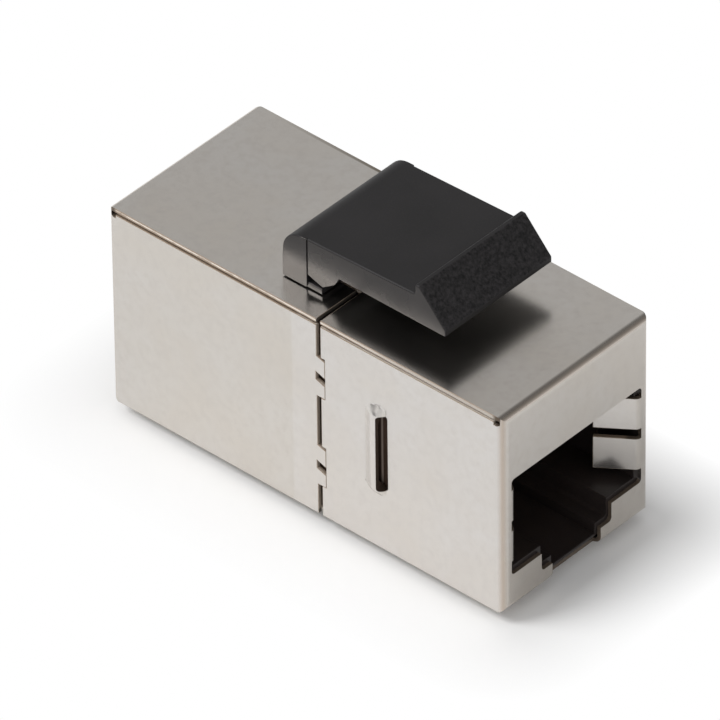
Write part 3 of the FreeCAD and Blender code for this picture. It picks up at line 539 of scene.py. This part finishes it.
def edge_material(settings, grain, depth):
    """Cut edge of the sheet: bright where it sheared, brown where it broke, with painted shade round the
    sockets, on the seam's edges in the roof and on the cut edges that face up.
    """
    material, tree, shader, place = new_material("shield_cut_edge")
    shader.inputs["Metallic"].default_value = 0.45
    effect = place_group(tree, grain, place, scale=14000.0, mark_scale=900.0)
    level = place_group(tree, depth, place, normal=place.node.outputs["Normal"])
    break_and_shade_depth = level["Depth"]
    # Handling marks make the break uneven; cut edges that face up take more brown, which is painted shade
    # in the seams' gaps, and towards the front less of the edge is brown.
    for mask, share in ((effect["Marks"], 0.2), (level["Upward"], 0.25), (level["Front"], -0.5)):
        break_and_shade_depth = math_node(tree, "MULTIPLY_ADD", mask, share, break_and_shade_depth)
    # Towards the front the sheared colour is darker on cut edges that don't face up.
    upright = remap(tree, level["Upward"], 0.0, 1.0, 1.0, 0.0)
    dull = product(tree, level["Front"], upright)
    colour = settings.shear_colour
    # Painted shade: the seam's edges in the roof are painted darker.
    seam = blend_colours(tree, level["Roof"], settings.seam_colour, shaded(settings.seam_colour, 0.3))
    # In turn: darker sheared colour towards the front, brown where the break shows, the seam's colour on
    # edges facing the other shield, and painted shade round the socket opening.
    for mask, tone in ((dull, shaded(settings.shear_colour, 0.62)),
                       (remap(tree, break_and_shade_depth, 0.5, 0.72), settings.edge_colour),
                       (level["Across"], seam),
                       (level["Panel"], shaded(settings.edge_colour, 0.38))):
        colour = blend_colours(tree, mask, colour, tone)
    rough = remap(tree, effect["Grain"], 0.3, 0.7, 0.5, 0.7)
    finish_surface(tree, shader, colour, rough, effect["Grain"],
                   strength=0.3, depth=0.01 * MILLIMETRE)
    return material


def inside_shade_material(settings, grain):
    """Painted shade: a dull dark brown for the inside of the sheet and the stop slots' faces, seen only
    through the slots.
    """
    material, tree, shader, place = new_material("shield_inside_painted_shade")
    shader.inputs["Specular IOR Level"].default_value = 0.15
    effect = place_group(tree, grain, place, mark_scale=900.0)
    colour = blend_colours(tree, effect["Marks"], settings.inside_shade_colour,
                           shaded(settings.inside_shade_colour, 0.7))
    rough = remap(tree, effect["Grain"], 0.3, 0.7, 0.5, 0.65)
    finish_surface(tree, shader, colour, rough, effect["Grain"],
                   strength=0.1, depth=0.004 * MILLIMETRE)
    return material


def moulding_material(name, colour, grain, scale, relief, roughness, fleck, gloss,
                      sheen=(1.0, 1.0, 1.0), mask_name="Fleck", lift=4.0):
    """Moulded plastic with the grain of its mould."""
    material, tree, shader, place = new_material(name)
    shader.inputs["Specular IOR Level"].default_value = gloss
    shader.inputs["Specular Tint"].default_value = (*sheen, 1.0)
    effect = place_group(tree, grain, place, scale=scale)
    mask = math_node(tree, "MULTIPLY", effect[mask_name], fleck)
    mottled = blend_colours(tree, effect["Patch"], shaded(colour, 0.75), shaded(colour, 1.25))
    toned = blend_colours(tree, mask, mottled, shaded(colour, lift))
    rough = remap(tree, effect["Patch"], 0.0, 1.0, roughness - 0.05, roughness + 0.05)
    finish_surface(tree, shader, toned, rough, effect["Height"],
                   strength=relief, depth=0.03 * MILLIMETRE)
    return material


def add_painted_highlight_line(material, settings):
    """Painted highlight: a bright line on the housing's side behind the stop's slot."""
    tree = material.node_tree
    base = tree.nodes["Principled BSDF"].inputs["Base Color"]
    place = tree.nodes.new("ShaderNodeTexCoord")
    along = math_node(tree, "SUBTRACT", split(tree, place.outputs["Object"])["X"], settings.highlight_line_place)
    away = math_node(tree, "ABSOLUTE", along)
    mask = remap(tree, away, 0.3 * settings.highlight_line_width, 0.7 * settings.highlight_line_width, 1.0, 0.0)
    tree.links.new(blend_colours(tree, mask, base.links[0].from_socket, settings.highlight_line_colour), base)


def gold_material(settings, grain):
    """Plated contact wire, brighter along the drawn surface."""
    material, tree, shader, place = new_material("contact_gold")
    shader.inputs["Metallic"].default_value = 1.0
    effect = place_group(tree, grain, place, scale=12000.0, mark_scale=500.0)
    colour = blend_colours(tree, effect["Marks"], settings.gold_colour, shaded(settings.gold_colour, 0.86))
    rough = remap(tree, effect["Grain"], 0.0, 1.0, 0.16, 0.3)
    finish_surface(tree, shader, colour, rough, effect["Grain"],
                   strength=0.1, depth=0.004 * MILLIMETRE)
    return material


# Meshes
def new_piece(name, mesh, slot, *nodes):
    """Finished mesh as a piece that rides on the body and stands for its nodes."""
    piece = bpy.data.objects.new(name, mesh)
    bpy.context.scene.collection.objects.link(piece)
    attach(piece, BODY)
    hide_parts(*nodes)


def evaluated_mesh(source, name):
    """Plain mesh of an object with its modifiers, and the object gone."""
    bpy.context.view_layer.update()
    evaluated = source.evaluated_get(bpy.context.evaluated_depsgraph_get())
    mesh = bpy.data.meshes.new_from_object(evaluated)
    mesh.name = name
    old = source.data
    source.modifiers.clear()
    bpy.data.objects.remove(source)
    bpy.data.meshes.remove(old)
    return mesh


def joined_solid(node):
    """Copy of a node's solid with its loose triangles joined."""
    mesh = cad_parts[node].data.copy()
    mesh.materials.clear()
    solid = bmesh.new()
    solid.from_mesh(mesh)
    bmesh.ops.remove_doubles(solid, verts=solid.verts, dist=MERGE)
    bmesh.ops.dissolve_degenerate(solid, dist=SLIVER, edges=solid.edges)
    if not solid.faces:
        raise RuntimeError(node + " has no faces")
    for face in solid.faces:
        face.smooth = True
        face.material_index = 0
    return mesh, solid


def mark_cut_edges(solid, settings):
    """Materials of the cut edges, which have more metal behind them than the sheet is thick,
    and the dark painted-shade material of the inside and the stop slots of the walls."""
    tree = BVHTree.FromBMesh(solid)
    sheet = settings.sheet
    start = 0.02 * sheet
    inside = settings.can_half[1] - 2.5 * sheet
    for face in solid.faces:
        centre = face.calc_center_median()
        hit = tree.ray_cast(centre - face.normal * start, -face.normal)
        away = [abs(part) for part in centre - Vector(settings.can_middle)]
        on_wall = away[1] > inside and all(away[axis] < settings.can_half[axis] - 3.0 * sheet
                                           for axis in (0, 2))
        square = (abs(face.normal.y) if on_wall else min(abs(part) for part in face.normal)) < SQUARE
        in_slot = on_wall and square and centre.x > settings.stop_start
        # The walls' inside and the stop slots' faces take the dark painted-shade material.
        if in_slot or (away[1] > inside and face.normal.y * centre.y < -0.3 * away[1]):
            face.material_index = INSIDE_SHADE_SLOT
        elif square and (hit[0] is None or hit[3] > 2.5 * sheet):
            face.material_index = CUT_SLOT


def room_to_round(edge, width):
    """True for a sharp outer edge with room at both ends and no split of a flat face there."""
    if len(edge.link_faces) != 2 or not edge.is_convex or edge.calc_face_angle() < SHARP:
        return False
    others = [other for vertex in edge.verts for other in vertex.link_edges if other is not edge]
    return all(other.calc_length() > ROUND_ROOM * width and other.calc_face_angle(0.0) > FLAT
               for other in others)


def rounded_mesh(name, mesh, solid, width, materials, edge_slot=-1):
    """Mesh of the solid with flat faces and its clear outer edges rounded."""
    bmesh.ops.dissolve_limit(solid, angle_limit=FLAT, verts=solid.verts, edges=solid.edges,
                             delimit={"MATERIAL"})
    weight = solid.edges.layers.float.new("bevel_weight_edge")
    for edge in solid.edges:
        rolled = edge_slot < 0 or any(face.material_index == edge_slot for face in edge.link_faces)
        edge[weight] = 1.0 if rolled and room_to_round(edge, width) else 0.0
    solid.to_mesh(mesh)
    solid.free()
    for material in materials:
        mesh.materials.append(material)
    source = bpy.data.objects.new(name + "_source", mesh)
    bpy.context.scene.collection.objects.link(source)
    bevel = source.modifiers.new("edges", "BEVEL")
    bevel.width = width
    bevel.segments = ROUND_STEPS
    bevel.limit_method = "WEIGHT"
    bevel.material = edge_slot
    bevel.use_clamp_overlap = False
    rounded = evaluated_mesh(source, name)
    shade_by_area(rounded)
    return rounded


def crease_between(*areas):
    """Cosine of the angle at which shading breaks between two faces, wider for small ones."""
    return math.cos(SMALL_CREASE if max(areas) < SMALL_FACE else CREASE)


def shade_by_area(mesh):
    """Corner normals that follow the larger faces round each vertex and break at creases."""
    around = [[] for vertex in mesh.vertices]
    for face in mesh.polygons:
        for vertex in face.vertices:
            around[vertex].append((face.normal.copy(), face.area))
    normals = []
    for face in mesh.polygons:
        for vertex in face.vertices:
            near = [normal * area for normal, area in around[vertex]
                    if normal.dot(face.normal) > crease_between(area, face.area)]
            normals.append(sum(near, Vector()).normalized() if near else face.normal.copy())
    mesh.normals_split_custom_set(normals)


def mark_bends(mesh, settings):
    """Face attribute that rises to one on the outer bends of the sheet."""
    half = Vector(settings.can_half)
    rim = Vector((1.5, 1.5, 1.5)) * settings.sheet
    values = []
    for face in mesh.polygons:
        away = face.center - Vector(settings.can_middle)
        near = [abs(away[axis]) > half[axis] - rim[axis] for axis in range(3)]
        slant = 1.0 - max(abs(part) for part in face.normal)
        values.append(min(1.0, slant / FULL_BEND) if near[0] and (near[1] or near[2]) else 0.0)
    bends = mesh.attributes.new("bend", "FLOAT", "FACE")
    bends.data.foreach_set("value", values)


# Operators
class DressShields(bpy.types.Operator):
    """Plated shields with rolled-over edges and bare metal where the sheet was cut"""

    bl_idname = "coupler.dress_shields"
    bl_label = "Shields"

    def execute(self, context):
        settings = context.scene.coupler_shield
        grain = metal_grain_group()
        materials = [plate_material(settings, grain),
                     edge_material(settings, grain, sheet_depth_group(settings)),
                     inside_shade_material(settings, grain)]
        for end in SOCKETS:
            node = end + "_shield"
            mesh, solid = joined_solid(node)
            mark_cut_edges(solid, settings)
            plate = rounded_mesh(end + "_plate", mesh, solid, settings.edge_round, materials,
                                 edge_slot=CUT_SLOT)
            mark_bends(plate, settings)
            new_piece(end + "_plate", plate, "shield_plate", node)
        return {"FINISHED"}


class DressLatch(bpy.types.Operator):
    """Moulded latch: smooth top, pitted ramp and glossy flanks"""

    bl_idname = "coupler.dress_latch"
    bl_label = "Latch"

    def execute(self, context):
        settings = context.scene.coupler_moulding
        grain = moulded_grain_group()
        materials = [
            moulding_material("latch_top", settings.latch_colour, grain,
                              scale=9000.0, relief=0.1, roughness=0.5, fleck=0.1, gloss=0.3),
            moulding_material("latch_ramp", shaded(settings.latch_colour, 0.2), grain,
                              scale=3700.0, relief=1.0, roughness=0.5, fleck=1.0, gloss=0.26,
                              mask_name="Pitted", lift=11.0),
            moulding_material("latch_flank", settings.latch_colour, grain,
                              scale=9000.0, relief=0.02, roughness=0.27, fleck=0.0, gloss=0.4,
                              sheen=settings.flank_sheen),
        ]
        mesh, solid = joined_solid("latch_clip")
        for face in solid.faces:
            if abs(face.normal.y) > SIDEWAYS:
                face.material_index = FLANK_SLOT
            elif (abs(face.normal.x) > RAMP_LEAN and face.normal.z > RAMP_RISE
                  and face.calc_center_median().x > 0.0):
                face.material_index = RAMP_SLOT
        moulding = rounded_mesh("latch_moulding", mesh, solid, settings.latch_round, materials)
        new_piece("latch_moulding", moulding, "latch_plastic", "latch_clip")
        return {"FINISHED"}


class DressSockets(bpy.types.Operator):
    """Socket housings with softened edges, contact carriers and the board"""

    bl_idname = "coupler.dress_sockets"
    bl_label = "Sockets"

    def execute(self, context):
        settings = context.scene.coupler_moulding
        grain = bpy.data.node_groups["Moulded Grain"]
        housing = moulding_material("housing_black", settings.housing_colour, grain,
                                    scale=7000.0, relief=0.2, roughness=0.33, fleck=0.15, gloss=0.3)
        # Painted shade: brown on the housings' outer sides in place of shaded metal seen through the
        # slots.
        side = moulding_material("housing_side_painted_shade", settings.side_shade_colour, grain,
                                 scale=7000.0, relief=0.2, roughness=0.4, fleck=0.15, gloss=0.3)
        add_painted_highlight_line(side, settings)
        carrier = moulding_material("carrier_black", settings.carrier_colour, grain,
                                    scale=7000.0, relief=0.15, roughness=0.4, fleck=0.1, gloss=0.4)
        board = moulding_material("board_lacquer", context.scene.coupler_contacts.board_colour, grain,
                                  scale=5000.0, relief=0.1, roughness=0.3, fleck=0.1, gloss=0.5)
        for end in SOCKETS:
            node = end + "_jack_housing"
            mesh, solid = joined_solid(node)
            flank = 0.95 * max(vertex.co.y for vertex in solid.verts)
            for face in solid.faces:
                outer = abs(face.calc_center_median().y) > flank
                face.material_index = int(outer and abs(face.normal.y) > SIDEWAYS)
            moulding = rounded_mesh(end + "_socket", mesh, solid, settings.housing_round, [housing, side])
            new_piece(end + "_socket", moulding, "housing_plastic", node)
            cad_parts[end + "_contact_carrier"].material_slots[0].material = carrier
        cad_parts["circuit_board"].material_slots[0].material = board
        return {"FINISHED"}


# Contact rows
def geometry_node(tree, kind, inputs, mode=None):
    """First output of a geometry node with its inputs fed by name."""
    node = tree.nodes.new(kind)
    if mode:
        node.mode = mode
    for name, value in inputs.items():
        feed(tree, node.inputs[name], value)
    return node.outputs[0]


def contact_row_tree():
    """Wire bent along a path with rounded corners, set out in a row."""
    tree = bpy.data.node_groups.new("Contact Row", "GeometryNodeTree")
    for name, kind in (("Geometry", "Geometry"), ("Count", "Int"), ("Start", "Float"), ("Step", "Float"),
                       ("Width", "Float"), ("Thickness", "Float"), ("Corner", "Float"),
                       ("Material", "Material")):
        tree.interface.new_socket(name, in_out="INPUT", socket_type="NodeSocket" + kind)
    tree.interface.new_socket("Geometry", in_out="OUTPUT", socket_type="NodeSocketGeometry")
    entry = tree.nodes.new("NodeGroupInput").outputs
    path = geometry_node(tree, "GeometryNodeMeshToCurve", {"Mesh": entry["Geometry"]})
    bend = geometry_node(tree, "GeometryNodeInputNamedAttribute", {"Name": "bend"})
    path = geometry_node(tree, "GeometryNodeFilletCurve", {
        "Curve": path, "Radius": bend, "Count": 10, "Limit Radius": True}, mode="POLY")
    section = geometry_node(tree, "GeometryNodeCurvePrimitiveQuadrilateral", {
        "Width": entry["Width"], "Height": entry["Thickness"]})
    section = geometry_node(tree, "GeometryNodeFilletCurve", {
        "Curve": section, "Radius": entry["Corner"], "Count": 3}, mode="POLY")
    wire = geometry_node(tree, "GeometryNodeCurveToMesh", {
        "Curve": path, "Profile Curve": section, "Fill Caps": True})
    first = geometry_node(tree, "ShaderNodeCombineXYZ", {"Y": entry["Start"]})
    step = geometry_node(tree, "ShaderNodeCombineXYZ", {"Y": entry["Step"]})
    row = geometry_node(tree, "GeometryNodeMeshLine", {
        "Count": entry["Count"], "Start Location": first, "Offset": step}, mode="OFFSET")
    wires = geometry_node(tree, "GeometryNodeInstanceOnPoints", {"Points": row, "Instance": wire})
    wires = geometry_node(tree, "GeometryNodeRealizeInstances", {"Geometry": wires})
    wires = geometry_node(tree, "GeometryNodeSetMaterial", {
        "Geometry": wires, "Material": entry["Material"]})
    tree.links.new(wires, tree.nodes.new("NodeGroupOutput").inputs["Geometry"])
    return tree


def set_inputs(modifier, values):
    """Modifier inputs by the identifiers of their sockets."""
    sockets = {item.name: item.identifier for item in modifier.node_group.interface.items_tree
               if item.item_type == "SOCKET" and item.in_out == "INPUT"}
    for name, value in values.items():
        modifier[sockets[name]] = value


def contact_path(direction, tail_height):
    """Corners of a contact wire and their bend radii, tail first, in millimetres."""
    lift = 0.9
    step_bend = 0.394
    hairpin = 0.5
    corners = [
        (-0.85, tail_height, 0.0),
        (3.0, tail_height, step_bend),
        (3.0, 11.15, step_bend),
        (16.6, 11.15, hairpin),
        (6.9, 7.0, 0.0),
    ]
    return [(direction * x, z + lift, radius) for x, z, radius in corners]


class BuildContacts(bpy.types.Operator):
    """Rows of plated spring contacts in both sockets"""

    bl_idname = "coupler.build_contacts"
    bl_label = "Contacts"

    def execute(self, context):
        settings = context.scene.coupler_contacts
        gold = gold_material(settings, bpy.data.node_groups["Metal Grain"])
        tree = contact_row_tree()
        total = 2 * settings.per_row
        for end, direction in SOCKETS.items():
            for row, (level, tail_height) in enumerate(TAILS):
                corners = contact_path(direction, tail_height)
                mesh = bpy.data.meshes.new("wire_path")
                mesh.from_pydata([(x * MILLIMETRE, 0.0, z * MILLIMETRE) for x, z, radius in corners],
                                 [(i, i + 1) for i in range(len(corners) - 1)], [])
                bends = mesh.attributes.new("bend", "FLOAT", "POINT")
                bends.data.foreach_set("value", [radius * MILLIMETRE for x, z, radius in corners])
                source = bpy.data.objects.new("wire_source", mesh)
                context.scene.collection.objects.link(source)
                modifier = source.modifiers.new("row", "NODES")
                modifier.node_group = tree
                first = direction * (row - (total - 1) / 2) * settings.pitch
                set_inputs(modifier, {
                    "Count": settings.per_row, "Start": first, "Step": direction * 2 * settings.pitch,
                    "Width": settings.width, "Thickness": settings.thickness,
                    "Corner": settings.corner, "Material": gold,
                })
                name = "%s_contacts_%s" % (end, level)
                wires = evaluated_mesh(source, name)
                if not wires.polygons:
                    raise RuntimeError(name + " came out empty")
                wires.shade_smooth()
                wires.set_sharp_from_angle(angle=SHARP)
                nodes = ["%s_contact_%d" % (end, 2 * i + row + 1) for i in range(settings.per_row)]
                new_piece(name, wires, "contact_plate", *nodes)
        return {"FINISHED"}


# Stage
def floor_material(settings):
    """Pale floor that goes to plain white away from the object."""
    material = bpy.data.materials.new("floor_pale")
    material.use_nodes = True
    tree = material.node_tree
    tree.nodes.clear()
    matt = tree.nodes.new("ShaderNodeBsdfDiffuse")
    matt.inputs["Color"].default_value = (*settings.floor_colour, 1.0)
    white = tree.nodes.new("ShaderNodeEmission")
    rays = tree.nodes.new("ShaderNodeLightPath").outputs
    place = tree.nodes.new("ShaderNodeTexCoord")
    away = vector_node(tree, "ABSOLUTE", place.outputs["Object"])
    beyond = vector_node(tree, "SUBTRACT", away, settings.footprint)
    reach = vector_node(tree, "LENGTH", vector_node(tree, "MAXIMUM", beyond, (0.0, 0.0, 0.0)))
    seen = product(tree, rays["Is Camera Ray"], remap(tree, reach, *settings.shadow_reach))
    mirrored = math_node(tree, "MAXIMUM", rays["Is Glossy Ray"], rays["Is Transmission Ray"])
    mirrored = product(tree, mirrored, remap(tree, reach, *settings.mirror_reach))
    mix = tree.nodes.new("ShaderNodeMixShader")
    tree.links.new(math_node(tree, "MAXIMUM", seen, mirrored), mix.inputs["Fac"])
    tree.links.new(matt.outputs[0], mix.inputs[1])
    tree.links.new(white.outputs[0], mix.inputs[2])
    out = tree.nodes.new("ShaderNodeOutputMaterial")
    tree.links.new(mix.outputs[0], out.inputs["Surface"])
    return material


def camera_axes(settings):
    """Backward, right and up directions of the camera before its roll."""
    back = Vector((math.sin(settings.azimuth) * math.cos(settings.elevation),
                   -math.cos(settings.azimuth) * math.cos(settings.elevation),
                   math.sin(settings.elevation)))
    right = Vector((math.cos(settings.azimuth), math.sin(settings.azimuth), 0.0))
    return back, right, back.cross(right)


class BuildStage(bpy.types.Operator):
    """Pale floor, soft light from the left, a brighter room behind the camera, and the camera"""

    bl_idname = "coupler.build_stage"
    bl_label = "Stage"

    def execute(self, context):
        settings = context.scene.coupler_stage
        scene = context.scene
        scene.view_settings.view_transform = "Standard"
        self.add_floor(scene, settings)
        self.add_room(scene, settings)
        back, right, up = camera_axes(settings)
        self.add_key(scene, settings, back)
        data = bpy.data.cameras.new("camera")
        data.lens = settings.lens
        data.clip_start = CLIP_START
        data.clip_end = CLIP_END
        camera = bpy.data.objects.new("camera", data)
        scene.collection.objects.link(camera)
        turned_right = right * math.cos(settings.roll) + up * math.sin(settings.roll)
        turned_up = up * math.cos(settings.roll) - right * math.sin(settings.roll)
        place = Vector(settings.aim) + turned_right * settings.shift[0] + turned_up * settings.shift[1]
        place += back * settings.distance
        axes = Matrix((turned_right, turned_up, back)).transposed().to_4x4()
        camera.matrix_world = Matrix.Translation(place) @ axes
        scene.camera = camera
        return {"FINISHED"}

    def add_floor(self, scene, settings):
        """Wide flat floor under the object."""
        half = FLOOR_HALF
        mesh = bpy.data.meshes.new("floor")
        mesh.from_pydata([(-half, -half, 0), (half, -half, 0), (half, half, 0), (-half, half, 0)], [],
                         [(0, 1, 2, 3)])
        mesh.materials.append(floor_material(settings))
        floor = bpy.data.objects.new("floor", mesh)
        scene.collection.objects.link(floor)

    def add_room(self, scene, settings):
        """White room with two darker parts."""
        world = bpy.data.worlds.new("room")
        scene.world = world
        world.use_nodes = True
        tree = world.node_tree
        light = tree.nodes["Background"]
        light.inputs["Color"].default_value = (1.0, 1.0, 1.0, 1.0)
        place = tree.nodes.new("ShaderNodeTexCoord").outputs["Generated"]
        behind = (math.sin(settings.azimuth), -math.cos(settings.azimuth), 0.0)
        level = math_node(tree, "MULTIPLY", vector_node(tree, "DOT_PRODUCT", place, behind),
                          settings.sky_slope)
        level = math_node(tree, "ADD", level, settings.sky_level)
        for direction, spread in ((settings.dark_right, RIGHT_SPREAD), (settings.dark_left, LEFT_SPREAD)):
            towards = vector_node(tree, "DOT_PRODUCT", place, Vector(direction).normalized())
            rim = math.cos(math.radians(spread))
            core = math.cos(math.radians(DARK_CORE * spread))
            dark = remap(tree, towards, rim, core, 0.0, settings.dark_depth)
            level = math_node(tree, "SUBTRACT", level, dark)
        tree.links.new(level, light.inputs["Strength"])

    def add_key(self, scene, settings, back):
        """Round soft light that points at the object."""
        lamp = bpy.data.lights.new("key", "AREA")
        lamp.shape = "DISK"
        lamp.size = KEY_SIZE
        lamp.energy = settings.key_power
        key = bpy.data.objects.new("key", lamp)
        scene.collection.objects.link(key)
        level = Vector((-back.x, back.y, 0.0)).normalized()
        direction = level * math.cos(settings.key_height) + Vector((0, 0, math.sin(settings.key_height)))
        key.location = Vector(settings.aim) + direction * KEY_DISTANCE
        key.rotation_euler = direction.to_track_quat("Z", "Y").to_euler()


class CouplerPanel(bpy.types.Panel):
    """Steps that dress the coupler"""

    bl_idname = "VIEW3D_PT_coupler"
    bl_label = "Keystone Coupler"
    bl_space_type = "VIEW_3D"
    bl_region_type = "UI"
    bl_category = "Coupler"

    def draw(self, context):
        for step in STEPS:
            self.layout.operator(step.bl_idname)


SETTINGS = {
    "coupler_shield": ShieldSettings,
    "coupler_moulding": MouldingSettings,
    "coupler_contacts": ContactSettings,
    "coupler_stage": StageSettings,
}
STEPS = (DressShields, DressLatch, DressSockets, BuildContacts, BuildStage)
CLASSES = (*SETTINGS.values(), *STEPS, CouplerPanel)


def register():
    for item in CLASSES:
        bpy.utils.register_class(item)
    for name, group in SETTINGS.items():
        setattr(bpy.types.Scene, name, PointerProperty(type=group))


def unregister():
    for name in SETTINGS:
        delattr(bpy.types.Scene, name)
    for item in reversed(CLASSES):
        bpy.utils.unregister_class(item)


def main():
    register()
    bpy.ops.coupler.dress_shields()
    bpy.ops.coupler.dress_latch()
    bpy.ops.coupler.dress_sockets()
    bpy.ops.coupler.build_contacts()
    bpy.ops.coupler.build_stage()


if __name__ == "__main__":
    main()
